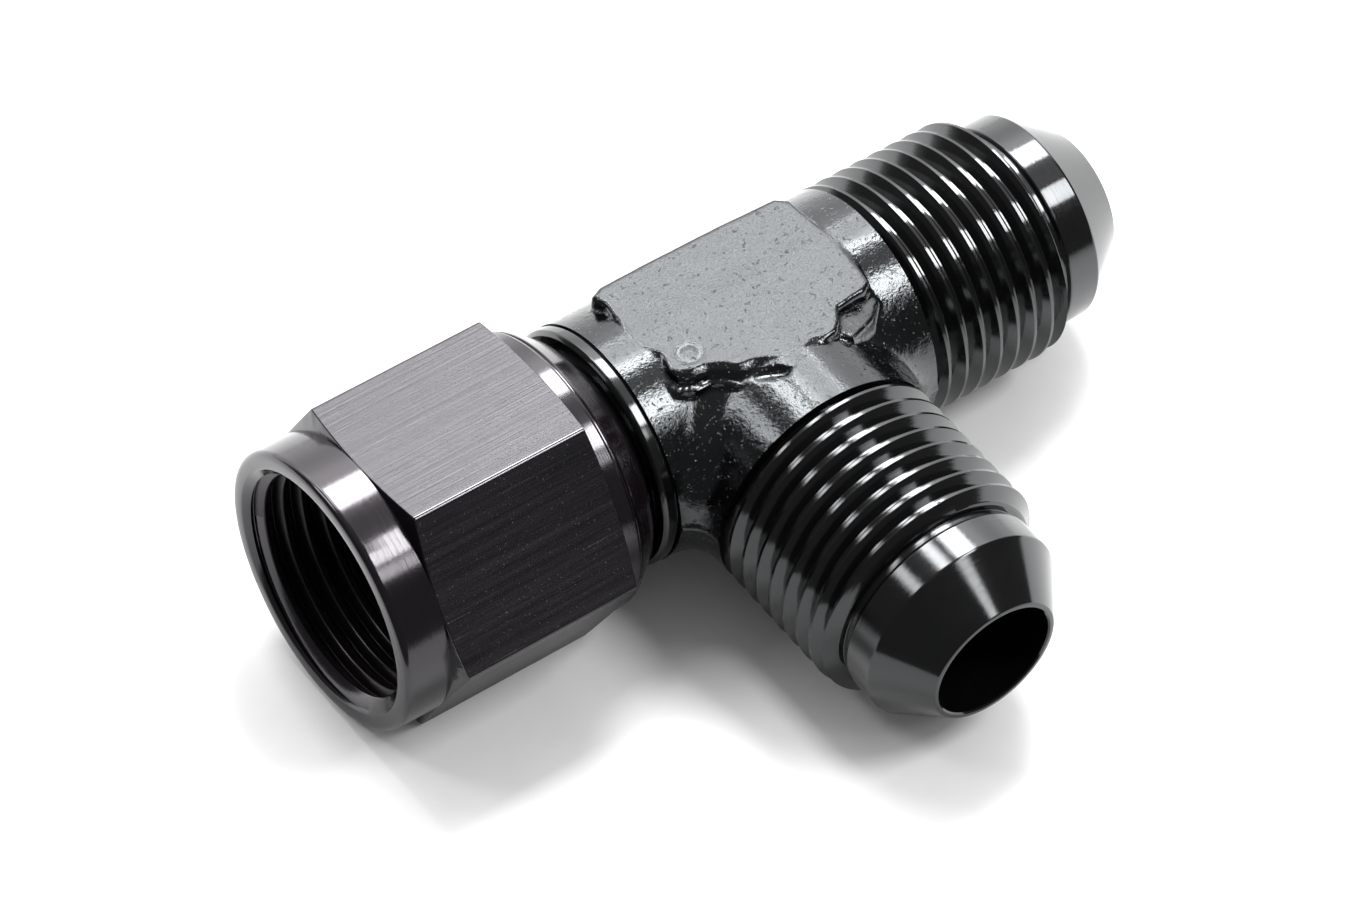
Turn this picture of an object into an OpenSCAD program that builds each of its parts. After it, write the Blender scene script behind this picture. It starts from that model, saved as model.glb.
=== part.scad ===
// Flare tee, size -8: a forged tee body with two male 37 degree flare ends and a female
// swivel nut on the third arm, held on its nipple by a thrust wire.
// Frame: the run and branch axes cross at the origin. The run is along X with its male
// end at +X and the swivel nut at -X, the branch points to -Y, and +Z is up.
// Units are millimetres.

/* [Male flare ends] */
// Major diameter of the thread
thread_d = 19.05; // [15:0.05:24]
// Thread pitch, 16 threads to the inch
pitch = 1.5875; // [1.2:0.0125:2]
// Centre of the tee to the tip of each male nose
arm_len = 31.9; // [27:0.1:40]
// Diameter of the flow bore
bore_d = 9.76; // [7.5:0.02:12]
// Flare angle of the nose and of the seat, from the axis
flare_angle = 37; // [30:1:45]
// Width of the flat lip round the bore at the tip of the nose
lip_w = 0.45; // [0.2:0.05:0.8]
// Length of the plain cylinder behind the nose cone
nose_band_len = 2.5; // [1.5:0.1:4]
// Width of the relief groove between the thread and the nose
relief_w = 0.8; // [0.4:0.1:1.2]
// Plain neck from the side of the crossing arm to the first thread groove
neck_len = 2.8; // [1.5:0.1:5]

/* [Forged body] */
// Half length of the flat pad along the run
pad_half_x = 8.4; // [6:0.1:10]
// Reach of the pad behind the run axis
pad_back = 5.9; // [4:0.1:8]
// Reach of the pad towards the branch
pad_front = 7.4; // [5:0.1:9]
// Corner radius of the pad
pad_corner_r = 1.2; // [0.6:0.1:2]
// Radius of the webs in the two inner corners
web_r = 2.6; // [1.5:0.1:4]

/* [Swivel nipple] */
// Shoulder in front of the swivel nut, from the side of the branch
shoulder_reach = 2.9; // [1.5:0.1:5]
// Length of the nipple in front of the shoulder
nipple_len = 12.3; // [10:0.1:16]
// Width of the turned ring at the shoulder
shoulder_ring_w = 1.3; // [0.6:0.1:2]

/* [Swivel nut] */
// Overall length of the nut
nut_len = 22.6; // [20:0.1:28]
// Gap between the nut and the shoulder of the body
nut_gap = 0.9; // [0.4:0.1:2]
// Wall of the nut between its thread and the flats of its hexagon
nut_wall = 1.575; // [1.2:0.025:4]
// Length of the turned collar in front of the hexagon
front_collar_len = 3.7; // [2:0.1:6]
// Length of the tapered skirt behind the hexagon
skirt_len = 2.2; // [1.5:0.1:3]
// Length of the turned collar between the hexagon and the skirt
rear_collar_len = 1.4; // [0.8:0.1:2.5]
// Turn of the nut about its axis
nut_turn = -3; // [-30:1:30]

/* [Thrust wire] */
// Diameter of the wire
wire_d = 1.5; // [1:0.1:1.8]
// Distance of the wire from the rear face of the nut
wire_inset = 5.3; // [4.5:0.1:6.5]

/* [Fits] */
// Radial clearance of the nut on the nipple
swivel_clearance = 0.07; // [0.03:0.01:0.1]
// Radial clearance of the wire in the groove of the nipple
wire_clearance = 0.12; // [0.05:0.01:0.2]
// Radial clearance of the wire's tail in its hole
tail_clearance = 0.1; // [0.05:0.01:0.2]

/* [Hidden] */
fine = 96;
eps = 0.01;

// thread form: 60 degree grooves with a flat crest and a flat root
thread_r = thread_d / 2;
groove_depth = 0.6134 * pitch;
crest_w = pitch / 8;
root_w = pitch / 6;
root_r = thread_r - groove_depth;
nut_minor_r = thread_r - 0.5 * pitch;
steps_per_turn = 30;
// how far a thread cutter stands clear of the surface it cuts, and its width there
cutter_lift = 0.07 * pitch;
groove_w = pitch - crest_w + cutter_lift * 2 * tan(30);

// male end
bore_r = bore_d / 2;
lip_r = bore_r + lip_w;
nose_r = root_r - 0.28;
relief_r = nose_r - 0.3;
cone_len = (nose_r - lip_r) / tan(flare_angle);
band_start = arm_len - cone_len - nose_band_len;
relief_start = band_start - relief_w;
end_chamfer = 0.55;
thread_end = relief_start - end_chamfer;

// forged body
neck_r = thread_r - 0.025;
thread_start = neck_r + neck_len;
pad_z = neck_r + 0.02;
pad_edge = 0.35;
web_half_z = neck_r * 0.45;

// swivel nipple: the nut slides over it, so it is thinner than the thread's minor radius
nut_bore_r = nut_minor_r - 0.75;
nipple_r = nut_bore_r - swivel_clearance;
shoulder_x = neck_r + shoulder_reach;
nipple_tip = shoulder_x + nipple_len;
seat_r = nipple_r - 0.25;
seat_len = (seat_r - bore_r) / tan(flare_angle);
shoulder_r = neck_r - 0.1;
shoulder_chamfer = 0.25;

// swivel nut, with its stations measured from the centre of the tee
nut_rear = shoulder_x + nut_gap;
nut_front = nut_rear + nut_len;
skirt_end = nut_rear + skirt_len;
hex_start = skirt_end + rear_collar_len;
hex_end = nut_front - front_collar_len;
flat_r = thread_r + nut_wall;
hex_corner_r = flat_r / cos(30);
collar_r = flat_r - 0.05;
skirt_tip_r = collar_r - 1.75;
hex_chamfer_len = 0.4;
rim_r = 0.5;
mouth_r = thread_r + 0.2;
mouth_depth = mouth_r - nut_minor_r;
nut_relief_r = thread_r + 0.15;
nut_thread_end = nipple_tip + 0.9;
nut_relief_end = nipple_tip - 2.6;

// thrust wire: its centre line runs in the surface of the nut's bore
wire_r = wire_d / 2;
wire_x = nut_rear + wire_inset;
wire_path_r = nut_bore_r;
wire_start = 150;
wire_sweep = 330;
tail_len = 7.6;
tail_hole_len = 12;

// the cutter fades out of the metal over its last half turn
function fade(turn, turns) = min(1, max(0.05, (turns - turn) * 2));

// helical cutter along +Z from z = 0, as one closed polyhedron. Its section is a trapezoid
// between two radii with a width at each, and it fades out towards the radius open_r.
module thread_cutter(length, inner_r, inner_w, outer_r, outer_w, open_r) {
    turns = length / pitch;
    count = ceil(turns * steps_per_turn);
    section = [
        [-inner_w / 2, inner_r],
        [-outer_w / 2, outer_r],
        [outer_w / 2, outer_r],
        [inner_w / 2, inner_r]
    ];
    sides = len(section);
    points = [
        for (i = [0 : count], corner = section)
            let (
                turn = i / steps_per_turn,
                angle = 360 * turn,
                r = open_r + (corner[1] - open_r) * fade(turn, turns)
            )
            [r * cos(angle), r * sin(angle), turn * pitch + corner[0]]
    ];
    walls = [
        for (i = [0 : count - 1], j = [0 : sides - 1])
            let (a = i * sides + j, b = i * sides + (j + 1) % sides)
            each [[a, b, b + sides], [a, b + sides, a + sides]]
    ];
    start_cap = [for (j = [0 : sides - 1]) sides - 1 - j];
    end_cap = [for (j = [0 : sides - 1]) count * sides + j];
    polyhedron(points = points, faces = concat(walls, [start_cap], [end_cap]));
}

// turns a solid of revolution or a cutter from +Z to point along +X, -X or -Y
module along_run() {
    rotate([0, 90, 0]) children();
}

module along_swivel() {
    rotate([0, -90, 0]) children();
}

module along_branch() {
    rotate([90, 0, 0]) children();
}

// blank of one male end: thread, end chamfer, relief groove, nose band and 37 degree cone
module male_blank() {
    rotate_extrude($fn = fine)
        polygon([
            [0, 0],
            [neck_r, 0],
            [neck_r, thread_start - pitch / 2],
            [thread_r, thread_start - pitch / 4],
            [thread_r, thread_end],
            [nose_r + 0.1, relief_start],
            [relief_r, relief_start],
            [relief_r, band_start - 0.2],
            [nose_r, band_start],
            [nose_r, arm_len - cone_len],
            [lip_r, arm_len],
            [0, arm_len]
        ]);
}

// the cutter starts in the relief groove and fades out at the neck
module male_thread_cutter() {
    start = relief_start + relief_w / 2;
    open_r = thread_r + cutter_lift;
    translate([0, 0, start])
        mirror([0, 0, 1])
            mirror([0, 1, 0])
                thread_cutter(start - thread_start, root_r, root_w, open_r, groove_w, open_r);
}

// flat wrench pad with rounded corners, standing a little proud of the round necks
module pad() {
    corners = [
        [-pad_half_x, pad_back],
        [pad_half_x, pad_back],
        [pad_half_x, -pad_front * 0.5],
        [pad_half_x * 0.2, -pad_front],
        [-pad_half_x * 0.05, -pad_front],
        [-pad_half_x, -pad_front * 0.6]
    ];
    hull()
        for (corner = corners)
            translate([
                corner[0] - sign(corner[0]) * pad_corner_r,
                corner[1] - sign(corner[1]) * pad_corner_r,
                0
            ]) {
                cylinder(h = 2 * pad_z, r = pad_corner_r - pad_edge, center = true, $fn = 32);
                cylinder(h = 2 * (pad_z - pad_edge), r = pad_corner_r, center = true, $fn = 32);
            }
}

// web with a concave front in the inner corner between the run's male arm and the branch
module inner_web() {
    reach = neck_r + web_r;
    difference() {
        translate([0, -reach, -web_half_z])
            cube([reach, reach, 2 * web_half_z]);
        translate([reach, -reach, 0])
            cylinder(h = 4 * web_half_z, r = web_r, center = true, $fn = fine);
    }
}

// turned shoulder ring and nipple with its wire groove, along +Z
module swivel_spigot() {
    ring_start = shoulder_x - shoulder_ring_w;
    difference() {
        rotate_extrude($fn = fine)
            polygon([
                [0, 0],
                [neck_r, 0],
                [neck_r, ring_start],
                [shoulder_r, ring_start],
                [shoulder_r, shoulder_x - shoulder_chamfer],
                [shoulder_r - shoulder_chamfer, shoulder_x],
                [nipple_r, shoulder_x],
                [nipple_r, nipple_tip - 0.4],
                [nipple_r - 0.2, nipple_tip],
                [0, nipple_tip]
            ]);
        translate([0, 0, wire_x])
            rotate_extrude($fn = fine)
                translate([wire_path_r, 0])
                    circle(r = wire_r + wire_clearance, $fn = 32);
    }
}

// female 37 degree seat at the tip of the nipple
module seat_cutter() {
    translate([0, 0, nipple_tip - seat_len])
        cylinder(h = seat_len + eps, r1 = bore_r, r2 = seat_r + eps * tan(flare_angle), $fn = fine);
}

module tee_body() {
    color([0.13, 0.13, 0.14])
        difference() {
            union() {
                along_run() male_blank();
                along_branch() male_blank();
                along_swivel() swivel_spigot();
                pad();
                inner_web();
                mirror([1, 0, 0]) inner_web();
            }
            along_run() male_thread_cutter();
            along_branch() male_thread_cutter();
            along_swivel() seat_cutter();
            along_swivel() cylinder(h = nipple_tip + 1, r = bore_r, $fn = fine);
            along_run() cylinder(h = arm_len + 1, r = bore_r, $fn = fine);
            along_branch() cylinder(h = arm_len + 1, r = bore_r, $fn = fine);
        }
}

// turned parts of the nut: tapered skirt, both collars and the rounded rim
module nut_turned() {
    rotate_extrude($fn = fine) {
        polygon([
            [0, nut_rear],
            [skirt_tip_r, nut_rear],
            [skirt_tip_r + 0.25, nut_rear + 0.2],
            [collar_r - 0.15, skirt_end - 0.1],
            [collar_r - 0.15, skirt_end + 0.1],
            [collar_r, skirt_end + 0.2],
            [collar_r, nut_front - rim_r],
            [collar_r - rim_r, nut_front - rim_r],
            [collar_r - rim_r, nut_front],
            [0, nut_front]
        ]);
        translate([collar_r - rim_r, nut_front - rim_r])
            circle(r = rim_r, $fn = 32);
    }
}

// hexagon with its corners turned off at both ends
module nut_hexagon() {
    intersection() {
        translate([0, 0, hex_start])
            cylinder(h = hex_end - hex_start, r = hex_corner_r, $fn = 6);
        rotate_extrude($fn = fine)
            polygon([
                [0, hex_start],
                [collar_r, hex_start],
                [hex_corner_r, hex_start + hex_chamfer_len],
                [hex_corner_r, hex_end - hex_chamfer_len],
                [collar_r, hex_end],
                [0, hex_end]
            ]);
    }
}

// everything inside the nut except its thread: bore, thread relief, minor bore and mouth
module nut_cavity() {
    rotate_extrude($fn = fine)
        polygon([
            [0, nut_rear - 1],
            [nut_bore_r, nut_rear - 1],
            [nut_bore_r, nut_relief_end],
            [nut_relief_r, nut_relief_end],
            [nut_relief_r, nut_thread_end],
            [nut_minor_r, nut_thread_end],
            [nut_minor_r, nut_front - mouth_depth],
            [mouth_r + 1, nut_front + 1],
            [0, nut_front + 1]
        ]);
}

// the cutter starts outside the mouth and ends in the thread relief
module nut_thread_cutter() {
    start = nut_front - mouth_depth + pitch;
    length = start - nut_thread_end + pitch;
    open_r = nut_minor_r - cutter_lift;
    translate([0, 0, start])
        mirror([0, 0, 1])
            mirror([0, 1, 0])
                thread_cutter(length, open_r, groove_w, thread_r, root_w, open_r);
}

// places a child that lies along +X at the wire's open end, pointing along the tail
module at_wire_tail() {
    translate([0, 0, wire_x])
        rotate([0, 0, wire_start])
            translate([wire_path_r, 0, 0])
                rotate([90, 0, 0])
                    children();
}

module swivel_nut() {
    color([0.36, 0.34, 0.39])
        along_swivel()
            rotate([0, 0, nut_turn])
                difference() {
                    union() {
                        nut_turned();
                        rotate([0, 0, 30]) nut_hexagon();
                    }
                    nut_cavity();
                    nut_thread_cutter();
                    translate([0, 0, wire_x])
                        rotate_extrude($fn = fine)
                            translate([wire_path_r, 0])
                                circle(r = wire_r, $fn = 32);
                    at_wire_tail() cylinder(h = tail_hole_len, r = wire_r + tail_clearance, $fn = 32);
                }
}

module retaining_wire() {
    color([0.72, 0.73, 0.74])
        along_swivel()
            rotate([0, 0, nut_turn]) {
                translate([0, 0, wire_x])
                    rotate([0, 0, wire_start])
                        rotate_extrude(angle = wire_sweep, $fn = fine)
                            translate([wire_path_r, 0])
                                circle(r = wire_r, $fn = 32);
                at_wire_tail() cylinder(h = tail_len, r = wire_r, $fn = 32);
            }
}

tee_body();
swivel_nut();
retaining_wire();
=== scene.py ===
"""Flare tee, size -8: a forged black anodised tee body with two male 37 degree ends, and a
bar-stock swivel nut held by a steel wire. Meshes are made in millimetres and scaled to metres."""
import math

import bpy
import numpy as np
from mathutils import Matrix, Vector


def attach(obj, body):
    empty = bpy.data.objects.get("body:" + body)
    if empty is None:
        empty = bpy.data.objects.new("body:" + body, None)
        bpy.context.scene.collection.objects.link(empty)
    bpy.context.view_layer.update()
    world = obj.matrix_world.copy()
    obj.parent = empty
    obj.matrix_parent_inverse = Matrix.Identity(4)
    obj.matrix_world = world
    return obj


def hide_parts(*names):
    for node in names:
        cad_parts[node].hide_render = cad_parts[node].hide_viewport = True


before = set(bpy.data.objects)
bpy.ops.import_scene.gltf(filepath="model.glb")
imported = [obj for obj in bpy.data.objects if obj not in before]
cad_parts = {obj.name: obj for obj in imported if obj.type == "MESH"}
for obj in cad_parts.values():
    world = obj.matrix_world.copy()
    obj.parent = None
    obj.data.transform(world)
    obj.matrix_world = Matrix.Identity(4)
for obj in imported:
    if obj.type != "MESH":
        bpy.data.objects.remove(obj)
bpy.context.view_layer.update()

MM = 0.001

# Sizes in millimetres, as in the CAD model. Lengths run outwards from where the axes cross.
PITCH = 1.5875
THREAD_R = 9.525
ROOT_R = 8.551
MINOR_R = 8.731
FLARE_SLOPE = math.tan(math.radians(37))

# the male ends, their bores and the forging
NECK_R = 9.5
PAD_Z = 9.52
BORE_R = 4.88
BORE_EDGE = 0.12
ARM_LEN = 31.9
NOSE_R = 8.271
LIP_R = 5.33
CONE_START = ARM_LEN - (NOSE_R - LIP_R) / FLARE_SLOPE
BAND_START = CONE_START - 2.5
RELIEF_START = BAND_START - 0.8
RELIEF_R = NOSE_R - 0.32
CHAMFER_START = RELIEF_START - 0.55
MALE_FACE = 12.05
SPIGOT_FACE = 11.17

# the nipple, the nut and the wire, whose lengths run towards -X
SHOULDER = 12.4
RING_R = NECK_R - 0.05
NIPPLE_TIP = 24.7
NIPPLE_R = 7.911
SEAT_R = NIPPLE_R - 0.25
NUT_BORE_R = 7.981
NUT_REAR = 13.3
NUT_FRONT = 35.9
HEX_REAR = 16.9
HEX_FRONT = 32.2
FLAT_R = 11.1
CORNER_FILLET = 0.35
COLLAR_R = 11.06
NUT_RELIEF_R = 9.675
RIM_FILLET = 0.5
NUT_TURN = 87.0
WIRE_R = 0.75
WIRE_X = 18.6
WIRE_PLAY = 0.12
HOLE_R = WIRE_R + 0.1
HOLE_ANGLE = math.radians(147)

# fineness of the meshes
TURNS = 144
BORE_TURNS = 96
NET_STEP = 0.21


# ---------------------------------------------------------------- mesh helpers

def signed_volume(verts, faces):
    """Six times the volume inside a closed mesh, negative if its faces turn inwards."""
    total = 0.0
    for face in faces:
        a = verts[face[0]]
        for i in range(1, len(face) - 1):
            total += np.dot(a, np.cross(verts[face[i]], verts[face[i + 1]]))
    return total


def mesh_object(name, verts, faces):
    """A closed mesh with its faces turned outwards, still in millimetres."""
    verts = np.asarray(verts, float)
    if signed_volume(verts, faces) < 0:
        faces = [face[::-1] for face in faces]
    mesh = bpy.data.meshes.new(name)
    mesh.from_pydata(verts.tolist(), [], faces)
    mesh.update()
    obj = bpy.data.objects.new(name, mesh)
    bpy.context.scene.collection.objects.link(obj)
    return obj


def soften(corners):
    """A polyline of (axial, radius, fillet) corners with each corner rounded by its fillet."""
    out = []
    longest_share = 0.45
    for i, (x, r, fillet) in enumerate(corners):
        here = np.array([x, r])
        if not fillet or i in (0, len(corners) - 1):
            out.append((x, r))
            continue
        back = np.array(corners[i - 1][:2]) - here
        ahead = np.array(corners[i + 1][:2]) - here
        room = min(np.linalg.norm(back), np.linalg.norm(ahead))
        cut = min(fillet, longest_share * room)
        first = here + back / np.linalg.norm(back) * cut
        last = here + ahead / np.linalg.norm(ahead) * cut
        for t in (0.0, 0.25, 0.5, 0.75, 1.0):
            point = (1 - t) ** 2 * first + 2 * t * (1 - t) * here + t ** 2 * last
            out.append((point[0], point[1]))
    return out


def lathe(name, profile, segments=TURNS):
    """Turns a profile of (axial, radius) about X. It starts and ends on the axis."""
    verts, faces = [], []
    verts.append((profile[0][0], 0.0, 0.0))
    rings = profile[1:-1]
    for x, r in rings:
        for j in range(segments):
            a = 2 * math.pi * j / segments
            verts.append((x, r * math.cos(a), r * math.sin(a)))
    verts.append((profile[-1][0], 0.0, 0.0))
    last = len(verts) - 1
    for j in range(segments):
        k = (j + 1) % segments
        faces.append((0, 1 + k, 1 + j))
        for i in range(len(rings) - 1):
            a, b = 1 + i * segments, 1 + (i + 1) * segments
            faces.append((a + j, a + k, b + k, b + j))
        a = 1 + (len(rings) - 1) * segments
        faces.append((a + j, a + k, last))
    return mesh_object(name, verts, faces)


def helix_cutter(name, start, travel, angle, section, open_r):
    """A thread groove swept along a right-hand helix about X, fading out over its last half
    turn. travel is signed, section holds (axial, radius) corners."""
    turns = abs(travel) / PITCH
    count = math.ceil(turns * TURNS)
    way = 1 if travel > 0 else -1
    verts, faces = [], []
    sides = len(section)
    for i in range(count + 1):
        turn = i / TURNS
        a = angle + way * 2 * math.pi * turn
        fade = min(1.0, max(0.05, (turns - turn) * 2))
        for dx, r in section:
            r = open_r + (r - open_r) * fade
            verts.append((start + way * turn * PITCH + dx, r * math.cos(a), r * math.sin(a)))
    for i in range(count):
        for j in range(sides):
            a, b = i * sides + j, i * sides + (j + 1) % sides
            faces.append((a, b, b + sides, a + sides))
    faces.append(tuple(range(sides))[::-1])
    faces.append(tuple(count * sides + j for j in range(sides)))
    return mesh_object(name, verts, faces)


def mirrored(half):
    """A groove's full section, from its right half listed outwards from the middle."""
    return [(-along, r) for along, r in half[::-1]] + half


def combine(target, other, operation):
    """Joins other to target or cuts it away, then removes it."""
    mod = target.modifiers.new("combine", "BOOLEAN")
    mod.operation = operation
    mod.object = other
    mod.solver = "MANIFOLD"
    bpy.context.view_layer.update()
    result = bpy.data.meshes.new_from_object(
        target.evaluated_get(bpy.context.evaluated_depsgraph_get()))
    target.modifiers.clear()
    target.data = result
    bpy.data.objects.remove(other)


def turn_to_branch(obj):
    """Turns a piece made along +X to point along -Y."""
    obj.data.transform(Matrix.Rotation(math.radians(-90), 4, "Z"))
    return obj


# ---------------------------------------------------------------- forged core

# Outline of the wrench pad seen from above: straight at the back, wavy where the die was trimmed
PAD = [
    (-8.7, 5.3), (-8.35, 4.0), (-8.6, 2.2), (-8.85, 0.8), (-8.45, -0.7), (-7.85, -2.0),
    (-8.2, -3.4), (-8.0, -4.4), (-7.0, -4.95), (-5.8, -5.15), (-4.8, -5.75), (-4.1, -6.45),
    (-2.7, -6.7), (-1.0, -7.5), (1.3, -7.7), (2.2, -7.5), (4.0, -7.3), (4.75, -6.6),
    (5.4, -5.6), (7.0, -5.4), (8.0, -5.35), (8.75, -4.9), (9.0, -3.5), (9.15, -1.0),
    (9.05, 1.0), (8.9, 2.6), (8.7, 4.8), (7.8, 5.55), (2.7, 5.75), (-4.1, 5.8), (-7.7, 5.75),
]
# Lower steps left by the trimming: one along the left front edge, one in the right corner
LEFT_STEP = [
    (-8.3, -1.0), (-8.65, -3.4), (-8.5, -4.9), (-7.2, -5.5), (-5.9, -5.6), (-5.1, -6.2),
    (-4.4, -7.0), (-2.8, -7.25), (-1.2, -7.9), (0.0, -6.0), (-3.0, -3.0),
]
RIGHT_STEP = [
    (3.9, -7.0), (5.0, -8.0), (5.9, -7.7), (7.5, -7.05), (8.95, -5.7), (8.9, -4.0), (5.0, -4.0),
]


def smooth_min(a, b, blend):
    """The smaller distance, with a fillet where the two are within blend of each other."""
    near = np.maximum(blend - np.abs(a - b), 0.0) / blend
    return np.minimum(a, b) - near * near * blend / 4


def smooth_max(a, b, blend):
    return -smooth_min(-a, -b, blend)


def outline_distance(x, y, outline):
    """Signed distance to a closed outline in the XY plane, negative inside."""
    pts = np.array(outline)
    best = np.full(x.shape, 1e9)
    inside = np.zeros(x.shape, bool)
    for (ax, ay), (bx, by) in zip(pts, np.roll(pts, -1, axis=0)):
        ex, ey = bx - ax, by - ay
        t = np.clip(((x - ax) * ex + (y - ay) * ey) / (ex * ex + ey * ey), 0, 1)
        best = np.minimum(best, (x - ax - t * ex) ** 2 + (y - ay - t * ey) ** 2)
        crosses = (ay > y) != (by > y)
        if ey:
            inside ^= crosses & (x < ax + (y - ay) / ey * ex)
    return np.where(inside, -1, 1) * np.sqrt(best)


def slab(x, y, z, outline, top, edge, slope=0.0):
    """An outline raised to a height on one side of z = 0, with rounded edges, and a sloped
    margin where slope is above 0."""
    side = outline_distance(x, y, outline) + edge
    height = z - top + edge + slope * np.maximum(side - edge + 0.75, 0)
    rounded = np.hypot(np.maximum(side, 0), np.maximum(height, 0))
    return np.minimum(np.maximum(side, height), 0) + rounded - edge


def add_pads_and_steps(skin, run, x, y, z):
    """Adds the wrench pad and its lower steps on both sides, and cuts the recess beside it."""
    margin = 0.55 * np.clip((-3.6 - y) / 1.0, 0, 1) * np.clip((3.0 - x) / 1.2, 0, 1)
    outside = outline_distance(x, y, PAD)
    for way in (1, -1):
        height = way * z
        pad = slab(x, y, height, PAD, PAD_Z, 0.4, margin)
        left = slab(x, y, height, LEFT_STEP, PAD_Z - 0.95, 0.22)
        right = slab(x, y, height + 0.17 * (x - 6.5), RIGHT_STEP, PAD_Z - 1.05, 0.28)
        steps = np.maximum(np.minimum(left, right), -height)
        skin = smooth_min(skin, np.maximum(steps, run - 2.6), 0.3)
        # recess under the left front edge, where the neck was trimmed back
        recess = np.hypot(outside - 0.62, height - 9.4) - 0.52
        recess = recess + 0.7 * np.maximum(x + 1.4, 0) + np.maximum(y + 4.4, 0)
        skin = smooth_max(skin, -recess, 0.15)
        skin = smooth_min(skin, np.maximum(pad, -height), 0.2)
    return skin


def forging(points):
    """Signed distance, in millimetres, to the forged middle of the tee."""
    x, y, z = points[:, 0], points[:, 1], points[:, 2]
    run = np.hypot(y, z) - NECK_R
    branch = np.maximum(np.hypot(x, z) - NECK_R, y)
    reach = 0.7 + 2.3 * np.clip(1 - (z / NECK_R) ** 2, 0, 1)
    skin = smooth_min(run, branch, reach)
    skin = smooth_max(skin, np.abs(z) - PAD_Z, 0.1)
    skin = add_pads_and_steps(skin, run, x, y, z)
    # trimmed flash along the parting plane
    corner = np.clip(1.3 - np.hypot(np.abs(x) - 10.3, y + 10.3) * 0.22, 0.25, 1)
    skin = skin - 0.16 * corner * np.exp(-(z / 0.38) ** 2)
    # round mark of an inspection punch
    ring = np.hypot(x + 6.0, y + 3.0)
    skin = skin + 0.085 * np.exp(-((ring - 0.8) / 0.26) ** 2) * (z > 8)
    # shallow unevenness of the die
    skin = skin + 0.005 * np.sin(1.9 * x + 0.7 * y) * np.sin(1.3 * y - 0.8 * z + 1.0)
    skin = skin + 0.003 * np.sin(3.7 * x - 2.9 * y + 2.0) * np.sin(3.1 * z + 2.3 * y)
    ends = np.maximum(np.maximum(x - 12.5, -11.6 - x), -12.5 - y)
    return smooth_max(skin, ends, 0.12)


def cube_corner(number):
    """Which side of a cell, 0 or 1 along each axis, one of its eight corners is on."""
    return number & 1, number >> 1 & 1, number >> 2 & 1


def surface_net(field, low, high, step):
    """Closed mesh of the surface where field is zero, drawn onto it by Newton steps."""
    sizes = [int(math.ceil((h - l) / step)) + 1 for l, h in zip(low, high)]
    axes = [l + step * np.arange(n) for l, n in zip(low, sizes)]
    values = np.empty(sizes)
    gy, gz = np.meshgrid(axes[1], axes[2], indexing="ij")
    for i, x in enumerate(axes[0]):
        pts = np.stack([np.full(gy.size, x), gy.ravel(), gz.ravel()], axis=1)
        values[i] = field(pts).reshape(gy.shape)
    inside = values < 0
    nx, ny, nz = sizes
    corner = []
    for number in range(8):
        i, j, k = cube_corner(number)
        corner.append((slice(i, nx - 1 + i), slice(j, ny - 1 + j), slice(k, nz - 1 + k)))
    count = sum(inside[where].astype(int) for where in corner)
    mixed = (count > 0) & (count < 8)
    cells = np.argwhere(mixed)
    index = np.full(mixed.shape, -1)
    index[mixed] = np.arange(len(cells))
    total, hits = np.zeros((len(cells), 3)), np.zeros(len(cells))
    for a in range(8):
        for bit in range(3):
            b = a | 1 << bit
            if b == a:
                continue
            fa, fb = values[corner[a]][mixed], values[corner[b]][mixed]
            cross = (fa < 0) != (fb < 0)
            t = np.where(cross, fa / np.where(cross, fa - fb, 1), 0)
            at = np.array(cube_corner(a), float) + np.zeros((len(cells), 3))
            at[:, bit] += t
            total += at * cross[:, None]
            hits += cross
    verts = (cells + total / hits[:, None]) * step + np.array(low)
    faces = []
    for axis in range(3):
        u, v = (axis + 1) % 3, (axis + 2) % 3
        first = [slice(1, -1)] * 3
        second = [slice(1, -1)] * 3
        first[axis], second[axis] = slice(0, -1), slice(1, None)
        edges = np.argwhere(inside[tuple(first)] != inside[tuple(second)])
        edges += [0 if k == axis else 1 for k in range(3)]
        leaving = inside[tuple(edges.T)]
        du, dv = np.eye(3, dtype=int)[u], np.eye(3, dtype=int)[v]
        ring = [index[tuple((edges - s * du - t * dv).T)]
                for s, t in ((0, 0), (1, 0), (1, 1), (0, 1))]
        quads = np.stack(ring, axis=1)
        quads[~leaving] = quads[~leaving][:, ::-1]
        faces.append(quads)
    faces = np.concatenate(faces)
    tiny, least_slope, newton_steps, newton_share = 0.02, 0.3, 3, 0.9
    for _ in range(newton_steps):
        value = field(verts)
        slope = np.stack([(field(verts + tiny * e) - value) / tiny for e in np.eye(3)], axis=1)
        size = np.maximum((slope ** 2).sum(1), least_slope)
        move = np.clip(value / size, -0.5 * step, 0.5 * step)[:, None]
        verts = verts - move * slope * newton_share
    return verts, [tuple(int(n) for n in q) for q in faces]


def forged_core():
    """The forging, with its three ends faced off square."""
    low, high = (-11.9, -12.8, -10.3), (12.8, 10.1, 10.3)
    verts, faces = surface_net(forging, low, high, NET_STEP)
    core = mesh_object("core", verts, faces)
    wide, far, segments = 12.0, 14.5, 64
    for start, turn in ((MALE_FACE, 0), (MALE_FACE, -90), (SPIGOT_FACE, 180)):
        corners = [(start, 0.0), (start, wide), (far, wide), (far, 0.0)]
        facing = lathe("facing", corners, segments)
        facing.data.transform(Matrix.Rotation(math.radians(turn), 4, "Z"))
        combine(core, facing, "DIFFERENCE")
    return core


# ---------------------------------------------------------------- turned parts of the body

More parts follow.
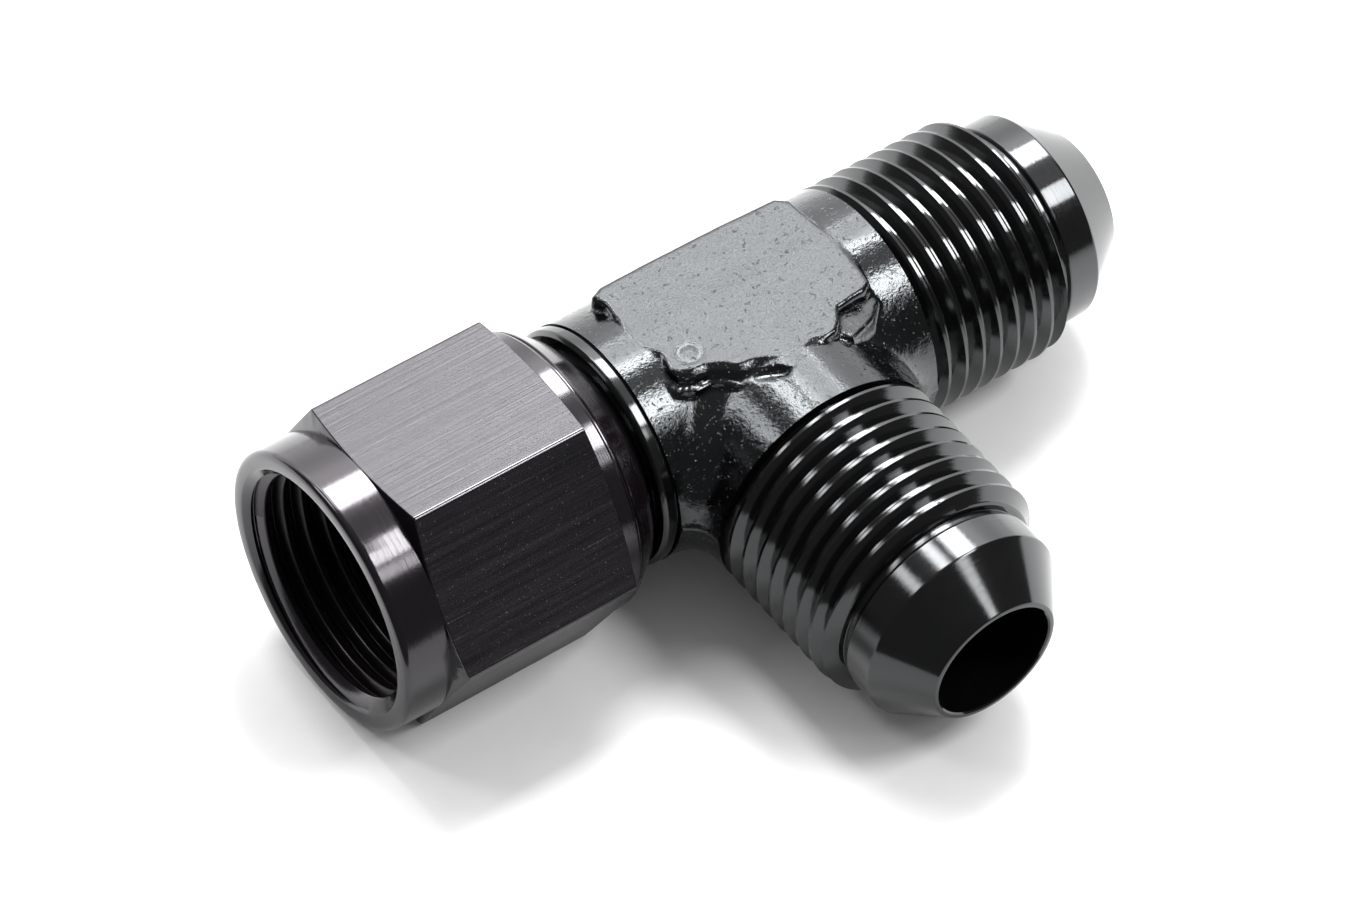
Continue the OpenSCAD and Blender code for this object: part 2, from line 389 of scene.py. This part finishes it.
def male_blank(name):
    """Thread blank, end chamfer, relief groove, nose band and 37 degree cone."""
    return lathe(name, [(10.9, 0.0)] + soften([
        (10.9, NECK_R - 0.3, 0),
        (11.95, NECK_R - 0.3, 0),
        (12.15, THREAD_R, 0),
        (14.0, THREAD_R, 0),
        (CHAMFER_START, THREAD_R, 0.08),
        (RELIEF_START, NOSE_R + 0.08, 0.06),
        (RELIEF_START + 0.06, RELIEF_R, 0.05),
        (BAND_START - 0.18, RELIEF_R, 0.1),
        (BAND_START, NOSE_R, 0.1),
        (CONE_START, NOSE_R, 0.12),
        (ARM_LEN - 0.04, LIP_R + 0.02, 0.1),
        (ARM_LEN, LIP_R - 0.1, 0),
    ]) + [(ARM_LEN, 0.0)])


def male_groove(name):
    """Cutter for the 60 degree thread, starting in the relief groove."""
    start, travel, angle, open_r = 25.0, -14.05, math.radians(145.5), 9.9
    half = [(0.07, ROOT_R - 0.01), (0.125, ROOT_R + 0.03), (0.655, THREAD_R - 0.02),
            (0.69, THREAD_R + 0.008), (0.7, open_r)]
    return helix_cutter(name, start, travel, angle, mirrored(half), open_r)


def add_male_end(body, branch):
    """Adds a threaded end to the run, or to the branch if branch is true."""
    end = male_blank("male_end")
    combine(end, male_groove("groove"), "DIFFERENCE")
    if branch:
        turn_to_branch(end)
    combine(body, end, "UNION")


def spigot():
    """Turned shoulder ring and the nipple that carries the nut and the wire, towards -X."""
    groove_r = WIRE_R + WIRE_PLAY
    groove = [(WIRE_X + groove_r * math.cos(a), NUT_BORE_R + groove_r * math.sin(a), 0)
              for a in np.radians(np.linspace(184.6, 355.4, 13))]
    obj = lathe("spigot", [(10.4, 0.0)] + soften([
        (10.4, 9.2, 0),
        (11.22, 9.2, 0),
        (11.3, 9.33, 0.04),
        (11.42, RING_R, 0.06),
        (SHOULDER - 0.28, RING_R, 0.08),
        (SHOULDER, NECK_R - 0.36, 0.06),
        (SHOULDER, NIPPLE_R + 0.15, 0),
        (SHOULDER + 0.15, NIPPLE_R, 0),
    ] + groove + [
        (NIPPLE_TIP - 0.4, NIPPLE_R, 0.1),
        (NIPPLE_TIP, NIPPLE_R - 0.2, 0.05),
        (NIPPLE_TIP, 7.7, 0),
    ]) + [(NIPPLE_TIP, 0.0)])
    obj.data.transform(Matrix.Diagonal((-1, 1, 1, 1)))
    obj.data.flip_normals()
    return obj


def bore_cutter(name, start):
    """Bore that ends in a male nose, with a small broken edge there. start is its far end."""
    past = 1.0
    return lathe(name, start + [
        (ARM_LEN - BORE_EDGE, BORE_R), (ARM_LEN, BORE_R + BORE_EDGE),
        (ARM_LEN + past, BORE_R + BORE_EDGE + past), (ARM_LEN + past, 0.0)], BORE_TURNS)


def seat_corners():
    """The run bore's far end: the nipple's concave 37 degree seat."""
    past = 1.0
    return [(-NIPPLE_TIP - past, 0.0), (-NIPPLE_TIP - past, SEAT_R + 0.75), (-NIPPLE_TIP, SEAT_R),
            (-NIPPLE_TIP + (SEAT_R - BORE_R) / FLARE_SLOPE, BORE_R)]


def tee_body():
    body = forged_core()
    body.name = "tee_body_visual"
    combine(body, spigot(), "UNION")
    for branch in (False, True):
        add_male_end(body, branch)
    combine(body, bore_cutter("run_bore", seat_corners()), "DIFFERENCE")
    branch_bore = bore_cutter("branch_bore", [(0.0, 0.0), (0.0, BORE_R)])
    combine(body, turn_to_branch(branch_bore), "DIFFERENCE")
    return body


# ---------------------------------------------------------------- swivel nut

def nut_columns():
    """Angles of the nut's columns with the hexagon's radius there, closest at its corners."""
    fillet, half_angle = CORNER_FILLET, math.radians(30)
    centre = (FLAT_R - fillet) / math.cos(half_angle)
    tangent = math.degrees(math.atan2(fillet * 0.5, centre + fillet * math.cos(half_angle)))
    offsets = [share * tangent for share in (0, 0.35, 0.7, 1)]
    offsets += [1.6, 3.2, 5.4, 8, 11, 14, 17, 20, 23.5, 27]
    columns = []
    for flat in range(6):
        corner = NUT_TURN + 30 + 60 * flat
        for side in [-d for d in offsets[:0:-1]] + offsets + [30]:
            d = abs(side)
            if d < tangent:
                a = math.radians(d)
                r = centre * math.cos(a) + math.sqrt(fillet ** 2 - (centre * math.sin(a)) ** 2)
            else:
                r = FLAT_R / math.cos(math.radians(30 - d))
            columns.append((math.radians(corner + side), r))
    return columns


def hexagon_end(hex_r, face, way):
    """One column across a chamfered end of the hexagon, from the collar out to the flat."""
    steep = 0.4 / (12.82 - COLLAR_R)

    def on_cone(r):
        return face - way * steep * (r - COLLAR_R)

    def above_collar(inset):
        return max(hex_r - inset, COLLAR_R)

    edge = on_cone(hex_r)
    return [
        (face, COLLAR_R),
        (on_cone(above_collar(0.13)), above_collar(0.13)),
        (edge - way * 0.012, above_collar(0.05)),
        (edge - way * 0.05, above_collar(0.013)),
        (edge - way * 0.13, hex_r),
    ]


def nut_profile(hex_r):
    """One column of the nut, as (distance from the tee's centre, radius), round its wall."""
    skirt = [
        (NUT_REAR + 0.02, 8.35), (NUT_REAR, 8.5), (NUT_REAR, 9.2), (NUT_REAR + 0.05, 9.33),
        (NUT_REAR + 0.16, 9.44), (NUT_REAR + 0.3, 9.55), (15.2, 10.78), (15.3, 10.86),
        (15.42, 10.88), (15.48, 10.8), (15.56, 10.8), (15.62, 10.93), (15.7, 11.0),
        (15.82, COLLAR_R), (HEX_REAR - 0.15, COLLAR_R),
    ]
    collar = [
        (HEX_FRONT + 0.15, COLLAR_R), (33.5, COLLAR_R), (NUT_FRONT - RIM_FILLET, COLLAR_R),
    ]
    rim = [(NUT_FRONT - RIM_FILLET + RIM_FILLET * math.sin(a),
            COLLAR_R - RIM_FILLET + RIM_FILLET * math.cos(a))
           for a in np.radians([12, 28, 44, 60, 76, 90])]
    socket = [
        (NUT_FRONT, 9.86), (NUT_FRONT - 0.02, 9.8), (NUT_FRONT - 0.08, 9.71),
        (NUT_FRONT - 0.95, MINOR_R + 0.06), (NUT_FRONT - 1.02, MINOR_R), (30.0, MINOR_R),
        (25.6, MINOR_R), (25.5, NUT_RELIEF_R), (22.2, NUT_RELIEF_R), (22.1, NUT_BORE_R),
    ]
    wire_groove = [(WIRE_X + WIRE_R * math.cos(a), NUT_BORE_R + WIRE_R * math.sin(a))
                   for a in np.radians(np.linspace(0, 180, 13))]
    return (skirt + hexagon_end(hex_r, HEX_REAR, -1) + hexagon_end(hex_r, HEX_FRONT, 1)[::-1]
            + collar + rim + socket + wire_groove + [(NUT_REAR + 0.3, NUT_BORE_R)])


def nut_blank():
    """The nut before its thread is cut, from one profile for each of its columns."""
    columns = nut_columns()
    verts, faces = [], []
    for angle, hex_r in columns:
        for along, r in nut_profile(hex_r):
            verts.append((-along, r * math.cos(angle), r * math.sin(angle)))
    sides = len(nut_profile(FLAT_R))
    for i in range(len(columns)):
        k = (i + 1) % len(columns)
        for j in range(sides):
            m = (j + 1) % sides
            faces.append((i * sides + j, k * sides + j, k * sides + m, i * sides + m))
    return mesh_object("swivel_nut_visual", verts, faces)


def nut_groove():
    """Cutter for the thread inside the nut, starting in front of its mouth."""
    start, travel, angle, open_r = -NUT_FRONT - 0.7, 11.6, math.radians(40), MINOR_R - 0.4
    half = [(0.1, THREAD_R), (0.14, THREAD_R - 0.03), (0.5, MINOR_R + 0.08),
            (0.54, MINOR_R + 0.035), (0.62, MINOR_R - 0.004), (0.64, open_r)]
    return helix_cutter("groove", start, travel, angle, mirrored(half), open_r)


def tail_hole():
    """Cutter for the hole through which the wire goes in, tangent to its groove."""
    depth, segments = 12.0, 32
    corners = [(0.0, 0.0), (0.0, HOLE_R), (depth, HOLE_R), (depth, 0.0)]
    hole = lathe("tail_hole", corners, segments)
    sine, cosine = math.sin(HOLE_ANGLE), math.cos(HOLE_ANGLE)
    start = Vector((-WIRE_X, NUT_BORE_R * sine, NUT_BORE_R * cosine))
    turn = Vector((0.0, -cosine, sine)).to_track_quat("X", "Z").to_matrix().to_4x4()
    hole.data.transform(Matrix.Translation(start) @ turn)
    return hole


def swivel_nut():
    nut = nut_blank()
    combine(nut, nut_groove(), "DIFFERENCE")
    combine(nut, tail_hole(), "DIFFERENCE")
    return nut


# ---------------------------------------------------------------- materials

MM_PER_METRE = 1000
SLOT_BLACK = (0.05, 0.05, 0.055)
BLACK = (0.0022, 0.0022, 0.0024)
COOL_TINT = (0.95, 0.98, 1.0)


class Graph:
    """Short names for building a node tree. Each maths method gives back its output socket."""

    def __init__(self, tree):
        self.tree = tree

    def add(self, kind, **values):
        node = self.tree.nodes.new(kind)
        for key, value in values.items():
            setattr(node, key, value)
        return node

    def link(self, a, b):
        self.tree.links.new(a, b)

    def feed(self, socket, value):
        """Links an output to a socket, or sets the socket to a constant."""
        if isinstance(value, bpy.types.NodeSocket):
            self.link(value, socket)
        else:
            socket.default_value = value

    def math(self, operation, *values):
        node = self.add("ShaderNodeMath", operation=operation)
        for socket, value in zip(node.inputs, values):
            self.feed(socket, value)
        return node.outputs[0]

    def mixed(self, a, share_a, b, share_b):
        return self.math("ADD", self.math("MULTIPLY", a, share_a), self.math("MULTIPLY", b, share_b))

    def vector(self, operation, output, *values):
        node = self.add("ShaderNodeVectorMath", operation=operation)
        for socket, value in zip(node.inputs, values):
            self.feed(socket, value)
        return node.outputs[output]

    def split(self, vector):
        node = self.add("ShaderNodeSeparateXYZ")
        self.link(vector, node.inputs[0])
        return node.outputs

    def span(self, fac, low, high, from_low=0.3, from_high=0.7, kind="LINEAR"):
        node = self.add("ShaderNodeMapRange", interpolation_type=kind)
        for key, value in (("From Min", from_low), ("From Max", from_high),
                           ("To Min", low), ("To Max", high)):
            node.inputs[key].default_value = value
        self.link(fac, node.inputs["Value"])
        return node.outputs["Result"]

    def ramp(self, fac, stops):
        node = self.add("ShaderNodeValToRGB")
        elements = node.color_ramp.elements
        while len(elements) < len(stops):
            elements.new(0.5)
        for element, (at, colour) in zip(elements, stops):
            element.position = at
            element.color = (*colour, 1)
        self.link(fac, node.inputs["Fac"])
        return node.outputs["Color"]


class Paint(Graph):
    """One material, whose patterns are sized in millimetres on the piece itself."""

    def __init__(self, name, slot_colour):
        self.mat = bpy.data.materials.new(name)
        self.mat.use_nodes = True
        self.mat.diffuse_color = (*slot_colour, 1)
        super().__init__(self.mat.node_tree)
        self.shader = self.tree.nodes["Principled BSDF"]
        self.coords = self.add("ShaderNodeTexCoord")
        self.mm = self.scaled(self.coords.outputs["Object"], (MM_PER_METRE,) * 3)

    def scaled(self, vector, scale):
        node = self.add("ShaderNodeMapping")
        node.inputs["Scale"].default_value = scale
        self.link(vector, node.inputs["Vector"])
        return node.outputs["Vector"]

    def noise(self, scale, detail=3.0, rough=0.55, stretch=None):
        """Noise on the piece, stretched along the axes whose share in stretch is small."""
        node = self.add("ShaderNodeTexNoise")
        node.inputs["Scale"].default_value = scale
        node.inputs["Detail"].default_value = detail
        node.inputs["Roughness"].default_value = rough
        self.link(self.scaled(self.mm, stretch) if stretch else self.mm, node.inputs["Vector"])
        return node.outputs["Fac"]

    def bump(self, height, distance, normal=None):
        node = self.add("ShaderNodeBump")
        node.inputs["Strength"].default_value = 1.0
        node.inputs["Distance"].default_value = distance
        self.link(height, node.inputs["Height"])
        if normal is not None:
            self.link(normal, node.inputs["Normal"])
        return node.outputs["Normal"]

    def finish(self, colour, roughness, normal, ior=1.65, tint=(1, 1, 1), metallic=0.0):
        inputs = self.shader.inputs
        self.link(colour, inputs["Base Color"])
        self.link(roughness, inputs["Roughness"])
        self.link(normal, inputs["Normal"])
        inputs["IOR"].default_value = ior
        inputs["Metallic"].default_value = metallic
        inputs["Specular Tint"].default_value = (*tint, 1)
        return self.mat


def forged_anodise():
    """Black anodised forging: satin pads with pits and glossy specks whose pale colour is painted
    sparkle glints, glossier uneven necks.
    """
    n = Paint("black_anodised_forged", SLOT_BLACK)
    grain = n.noise(6.0, 3.0, 0.6)
    ripple = n.noise(1.7, 4.0, 0.6)
    broad = n.noise(0.8)
    pits = n.span(n.noise(2.1, 2.0), 0.0, 1.0, 0.29, 0.35)
    # specks are glossier dented spots, and their pale colour in the ramp below is painted sparkle
    # glints
    specks = n.span(n.noise(4.0, 1.0), 0.0, 1.0, 0.7, 0.75)
    # 1 on the wrench pads, which lie level and highest, and 0 elsewhere
    facing_up = n.math("ABSOLUTE", n.split(n.coords.outputs["Normal"])["Z"])
    above = n.math("ABSOLUTE", n.split(n.mm)["Z"])
    level = n.math("MULTIPLY", n.span(facing_up, 0.0, 1.0, 0.97, 0.995),
                   n.span(above, 0.0, 1.0, 9.38, 9.48))
    mottle = n.math("MULTIPLY", level, n.span(grain, 0.0, 0.45, 0.35, 0.65))
    # grain mottle on the pads plus the specks' painted glints
    pale = n.math("ADD", specks, mottle)
    colour = n.ramp(n.mixed(broad, 0.5, pale, 0.5),
                    [(0.2, (0.0010, 0.0010, 0.0012)), (0.4, (0.0024, 0.0025, 0.0028)),
                     (1.0, (0.10, 0.105, 0.11))])
    skin = n.span(n.mixed(grain, 0.5, broad, 0.5), 0.05, 0.13)
    rough = n.math("SUBTRACT", n.math("ADD", skin, n.math("MULTIPLY", level, 0.3)),
                   n.math("MULTIPLY", specks, 0.12))
    height = n.mixed(grain, n.span(level, 0.35, 1.3, 0.0, 1.0),
                     ripple, n.span(level, 1.0, 0.3, 0.0, 1.0))
    marks = n.math("SUBTRACT", pits, n.math("MULTIPLY", specks, 0.7))
    normal = n.bump(marks, 0.000035, n.bump(height, 0.000034))
    return n.finish(colour, rough, normal, tint=(0.92, 0.97, 1.0))


def turned_anodise(name, axis, tint=COOL_TINT, base=BLACK, rough=(0.07, 0.14)):
    """Anodised turned metal, with fine tool lines round one axis."""
    n = Paint(name, SLOT_BLACK)
    stretch = [0.006, 0.006, 0.006]
    stretch[axis] = 1.0
    lines = n.noise(3.2, 5.0, 0.75, stretch)
    broad = n.noise(0.8)
    specks = n.noise(7.0, 2.0)
    colour = n.ramp(broad, [(0.3, base), (0.7, tuple(1.6 * c for c in base))])
    roughness = n.span(n.mixed(lines, 0.6, specks, 0.4), *rough)
    height = n.math("ADD", lines, n.math("MULTIPLY", specks, 0.15))
    return n.finish(colour, roughness, n.bump(height, 0.00001), tint=tint)


def drawn_anodise():
    """Flats of the hexagon: drawn bar with lengthwise lines and faint scratches."""
    n = Paint("purple_grey_drawn", (0.1, 0.09, 0.11))
    lengthwise = (0.012, 1.0, 1.0)
    lines = n.noise(2.6, 4.0, 0.8, lengthwise)
    streaks = n.noise(1.6, 3.0, 0.6, (0.03, 0.8, 0.8))
    scratches = n.span(n.noise(3.6, 3.0, 0.6, lengthwise), 0.0, 1.0, 0.64, 0.72)
    specks = n.span(n.noise(5.5, 1.0), 0.0, 1.0, 0.7, 0.76)
    marks = n.mixed(scratches, 0.35, specks, 0.65)
    drawn = n.span(n.mixed(lines, 0.75, streaks, 0.25), 0.0, 0.3, 0.42, 0.66)
    colour = n.ramp(n.math("ADD", drawn, n.math("MULTIPLY", marks, 0.7)),
                    [(0.0, (0.0008, 0.0005, 0.0008)), (0.3, (0.0100, 0.0080, 0.0100)),
                     (1.0, (0.16, 0.14, 0.15))])
    rough = n.span(n.mixed(lines, 0.6, streaks, 0.4), 0.3, 0.42)
    height = n.math("ADD", lines, n.math("MULTIPLY", marks, 0.6))
    return n.finish(colour, rough, n.bump(height, 0.00003), tint=(0.75, 0.72, 0.78))


def spring_steel():
    n = Paint("spring_steel", (0.6, 0.6, 0.62))
    lines = n.noise(6.0, 3.0, 0.6)
    colour = n.ramp(lines, [(0.3, (0.50, 0.50, 0.52)), (0.7, (0.64, 0.64, 0.66))])
    roughness = n.span(lines, 0.22, 0.38)
    return n.finish(colour, roughness, n.bump(lines, 0.000003), metallic=1.0)


# horizontal directions of the stage: along its front edge, and away from the camera
FRONT_EDGE = (0.77, -0.63)
AWAY = (0.63, 0.77)


def floor_white():
    """Matt white paper. Its front part is painted darker for reflected rays only, as painted shade
    standing in for the dimmer light in front of the piece; camera rays see it white.
    """
    n = Paint("floor_white", (0.9, 0.9, 0.9))
    grain = n.noise(0.4)
    paper = n.ramp(grain, [(0.3, (0.86, 0.86, 0.86)), (0.7, (0.88, 0.88, 0.88))])
    place = n.split(n.mm)
    away = n.mixed(place["X"], AWAY[0], place["Y"], AWAY[1])
    # painted shade: towards the camera the paper's colour drops to 0.62 for every ray except camera
    # rays
    share = n.span(away, 0.62, 1.0, -14.0, 12.0)
    is_camera = n.add("ShaderNodeLightPath").outputs["Is Camera Ray"]
    seen_share = n.math("MAXIMUM", share, is_camera)
    paper_with_painted_shade = n.add("ShaderNodeVectorMath", operation="SCALE")
    n.link(paper, paper_with_painted_shade.inputs[0])
    n.link(seen_share, paper_with_painted_shade.inputs["Scale"])
    return n.finish(paper_with_painted_shade.outputs[0], n.span(grain, 0.7, 0.8), n.bump(grain, 0.000002), ior=1.3)


def face_places(mesh):
    """Centres and normals of a mesh's faces, one row each."""
    count = len(mesh.polygons)
    centres, normals = np.empty(count * 3), np.empty(count * 3)
    mesh.polygons.foreach_get("center", centres)
    mesh.polygons.foreach_get("normal", normals)
    return centres.reshape(-1, 3), normals.reshape(-1, 3)


def paint(obj, materials, zones):
    """Gives each face the material that its zone's number points to."""
    obj.data.materials.clear()
    for mat in materials:
        obj.data.materials.append(mat)
    obj.data.polygons.foreach_set("material_index", zones.astype(np.int32))


def body_zones(centres):
    """0 for forged skin, 1 for metal turned about X, 2 for metal turned about Y."""
    forged, about_x, about_y = 0, 1, 2
    x, y, z = centres.T
    in_bore = BORE_R + 0.2
    male_from, spigot_from = MALE_FACE - 0.03, SPIGOT_FACE - 0.01
    turned_x = (x > male_from) | (x < -spigot_from) | (np.hypot(y, z) < in_bore)
    turned_y = (y < -male_from) | ((np.hypot(x, z) < in_bore) & (y < 0))
    return np.where(turned_x, about_x, np.where(turned_y, about_y, forged))


def nut_zones(centres, normals):
    """0 for the flats, 1 for the turned outside and mouth, 2 for the threaded cavity."""
    flats, turned, cavity = 0, 1, 2
    x, y, z = centres.T
    from_axis = np.hypot(y, z)
    facing = np.degrees(np.arctan2(normals[:, 2], normals[:, 1])) - NUT_TURN
    off_flat = np.abs((facing + 30) % 60 - 30)
    on_hexagon = (x < -HEX_REAR - 0.1) & (x > -HEX_FRONT + 0.05) & (from_axis > FLAT_R - 0.2)
    on_flat = on_hexagon & (off_flat < 4) & (np.abs(normals[:, 0]) < 0.2)
    inside = (from_axis < THREAD_R + 0.2) & (x > -NUT_FRONT + 1.0) & (x < -NUT_REAR - 0.3)
    return np.where(on_flat, flats, np.where(inside, cavity, turned))


def to_metres(obj, sharp_degrees):
    """Scales a finished piece to metres and shades it smooth between its sharp edges."""
    mesh = obj.data
    mesh.transform(Matrix.Scale(MM, 4))
    mesh.polygons.foreach_set("use_smooth", np.ones(len(mesh.polygons), bool))
    mesh.set_sharp_from_angle(angle=math.radians(sharp_degrees))
    mesh.update()
    even = obj.modifiers.new("even_shading", "WEIGHTED_NORMAL")
    even.weight = 80
    even.keep_sharp = True


# ---------------------------------------------------------------- stage, lights and camera

def add_floor():
    """A wide pale floor that touches the nut's flat and the threads of both male ends."""
    normal = Vector((-0.029, 0.028, 1.0)).normalized()
    contact = Vector((0.0, -24.0, -THREAD_R)) * MM
    wide, front, gap = 2.5, -0.056, 0.00005
    across, away = Vector((*FRONT_EDGE, 0.0)), Vector((*AWAY, 0.0))
    corners = [across * u + away * v for u, v in
               ((-wide, front), (wide, front), (wide, wide), (-wide, wide))]
    mesh = bpy.data.meshes.new("floor")
    mesh.from_pydata([(c.x - contact.x, c.y - contact.y, 0.0) for c in corners], [], [(0, 1, 2, 3)])
    floor = bpy.data.objects.new("floor", mesh)
    bpy.context.scene.collection.objects.link(floor)
    turn = Vector((0, 0, 1)).rotation_difference(normal).to_matrix().to_4x4()
    floor.matrix_world = Matrix.Translation(contact - normal * gap) @ turn
    mesh.materials.append(floor_white())


# name, direction cosines of its centre in X and Y, half sizes in X and Y, radiance
SOFTBOXES = [
    ("key_back", (0.39, 0.385), (0.14, 0.165), 27.0),
    ("key_front", (0.40, -0.41), (0.12, 0.14), 20.0),
    ("top_back", (0.0, 0.45), (0.09, 0.2), 16.0),
    ("side_back", (-0.52, 0.46), (0.07, 0.18), 8.0),
    ("ceiling_bounce", (0.42, -0.02), (0.13, 0.19), 0.7),
    ("front_strip", (0.285, -0.66), (0.085, 0.055), 9.0),
]
LIGHT_DISTANCE = 0.8


def add_softboxes():
    for name, (qx, qy), (half_x, half_y), radiance in SOFTBOXES:
        way = Vector((qx, qy, math.sqrt(1 - qx * qx - qy * qy)))
        data = bpy.data.lights.new(name, "AREA")
        data.shape = "RECTANGLE"
        data.size = 2 * half_x * LIGHT_DISTANCE / math.sqrt(1 - qx * qx)
        data.size_y = 2 * half_y * LIGHT_DISTANCE / math.sqrt(1 - qy * qy)
        data.energy = radiance * math.pi * data.size * data.size_y
        lamp = bpy.data.objects.new(name, data)
        bpy.context.scene.collection.objects.link(lamp)
        across = (Vector((1, 0, 0)) - way * qx).normalized()
        up = way.cross(across)
        turn = Matrix((across, up, way)).transposed().to_4x4()
        lamp.matrix_world = Matrix.Translation(way * LIGHT_DISTANCE) @ turn
        lamp.visible_camera = False


# the paper sweep's brightness from the horizon (0) to straight up (1)
SWEEP = [(0.0, 0.42), (0.35, 0.38), (0.5, 0.5), (0.62, 0.8), (0.74, 0.8), (0.8, 0.1), (1.0, 0.1)]
SWEEP_GAIN = 5.5
SWEEP_AZIMUTH = math.radians(65)
DIFFUSE_FILL = 0.22


def add_world():
    """A bright paper sweep behind, a dim room elsewhere, and white where the camera looks."""
    world = bpy.data.worlds.new("studio")
    bpy.context.scene.world = world
    world.use_nodes = True
    g = Graph(world.node_tree)
    direction = g.add("ShaderNodeTexCoord").outputs["Generated"]
    height = g.split(direction)["Z"]
    level = g.vector("NORMALIZE", "Vector", g.vector("MULTIPLY", "Vector", direction, (1, 1, 0)))
    sweep_way = (math.cos(SWEEP_AZIMUTH), math.sin(SWEEP_AZIMUTH), 0)
    behind = g.span(g.vector("DOT_PRODUCT", "Value", level, sweep_way),
                    0.0, 1.0, 0.5, 0.82, "SMOOTHSTEP")
    sweep = g.math("MULTIPLY", g.ramp(height, [(at, (v, v, v)) for at, v in SWEEP]), behind)
    roof = g.span(height, 0.16, 0.3, 0.6, 0.95, "SMOOTHSTEP")
    bright = g.math("MULTIPLY_ADD", sweep, SWEEP_GAIN, roof)
    path = g.add("ShaderNodeLightPath")
    room = g.add("ShaderNodeBackground")
    g.link(g.math("MULTIPLY_ADD", path.outputs["Is Diffuse Ray"], DIFFUSE_FILL, bright),
           room.inputs["Strength"])
    seen = g.add("ShaderNodeBackground")
    seen.inputs["Color"].default_value = (1, 1, 1, 1)
    seen.inputs["Strength"].default_value = 1.0
    mix = g.add("ShaderNodeMixShader")
    g.link(path.outputs["Is Camera Ray"], mix.inputs[0])
    g.link(room.outputs[0], mix.inputs[1])
    g.link(seen.outputs[0], mix.inputs[2])
    g.link(mix.outputs[0], g.tree.nodes["World Output"].inputs["Surface"])


def add_camera():
    """The camera looks down at about 50 degrees from the swivel nut's side. The axes' crossing
    lies offset millimetres to its right, below its centre line and away from it."""
    azimuth, elevation, roll = (math.radians(v) for v in (-38.735, 50.092, -3.435))
    offset = Vector((3.762, -5.345, 498.618))
    back = Vector((math.sin(azimuth) * math.cos(elevation),
                   -math.cos(azimuth) * math.cos(elevation), math.sin(elevation)))
    right = (-back).cross(Vector((0, 0, 1))).normalized()
    down = (-back).cross(right)
    right, down = (math.cos(roll) * right + math.sin(roll) * down,
                   -math.sin(roll) * right + math.cos(roll) * down)
    place = -(right * offset.x + down * offset.y - back * offset.z)
    data = bpy.data.cameras.new("camera")
    data.sensor_width = 36.0
    data.lens = 182.48619
    data.clip_start = 0.01
    data.clip_end = 20
    camera = bpy.data.objects.new("camera", data)
    bpy.context.scene.collection.objects.link(camera)
    camera.matrix_world = Matrix.Translation(place * MM) @ Matrix(
        (right, -down, back)).transposed().to_4x4()
    bpy.context.scene.camera = camera


# ---------------------------------------------------------------- build

def add_body():
    body = tee_body()
    paint(body, [forged_anodise(), turned_anodise("black_anodised_turned_x", 0),
                 turned_anodise("black_anodised_turned_y", 1)],
          body_zones(face_places(body.data)[0]))
    to_metres(body, sharp_degrees=32)
    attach(body, "body")
    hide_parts("tee_body")


def add_nut():
    nut = swivel_nut()
    outside = turned_anodise("purple_grey_turned", 0, (0.98, 0.94, 1.0),
                             (0.0034, 0.0024, 0.0032), (0.1, 0.17))
    # the cavity's copy of the turned finish is rougher, and its dimmer specular tint (0.6) is
    # painted shade inside the threaded recess
    cavity = turned_anodise("purple_grey_cavity_painted_shade", 0, (0.6, 0.55, 0.6),
                            (0.0034, 0.0024, 0.0030), (0.25, 0.4))
    paint(nut, [drawn_anodise(), outside, cavity], nut_zones(*face_places(nut.data)))
    to_metres(nut, sharp_degrees=21)
    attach(nut, "nut")
    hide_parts("swivel_nut")


def dress_wire():
    """The CAD wire stays as it is and gets its steel."""
    steel = spring_steel()
    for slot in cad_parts["retaining_wire"].material_slots:
        slot.material = steel


add_camera()
add_body()
add_nut()
dress_wire()
add_floor()
add_softboxes()
add_world()
bpy.context.scene.view_settings.view_transform = "Standard"
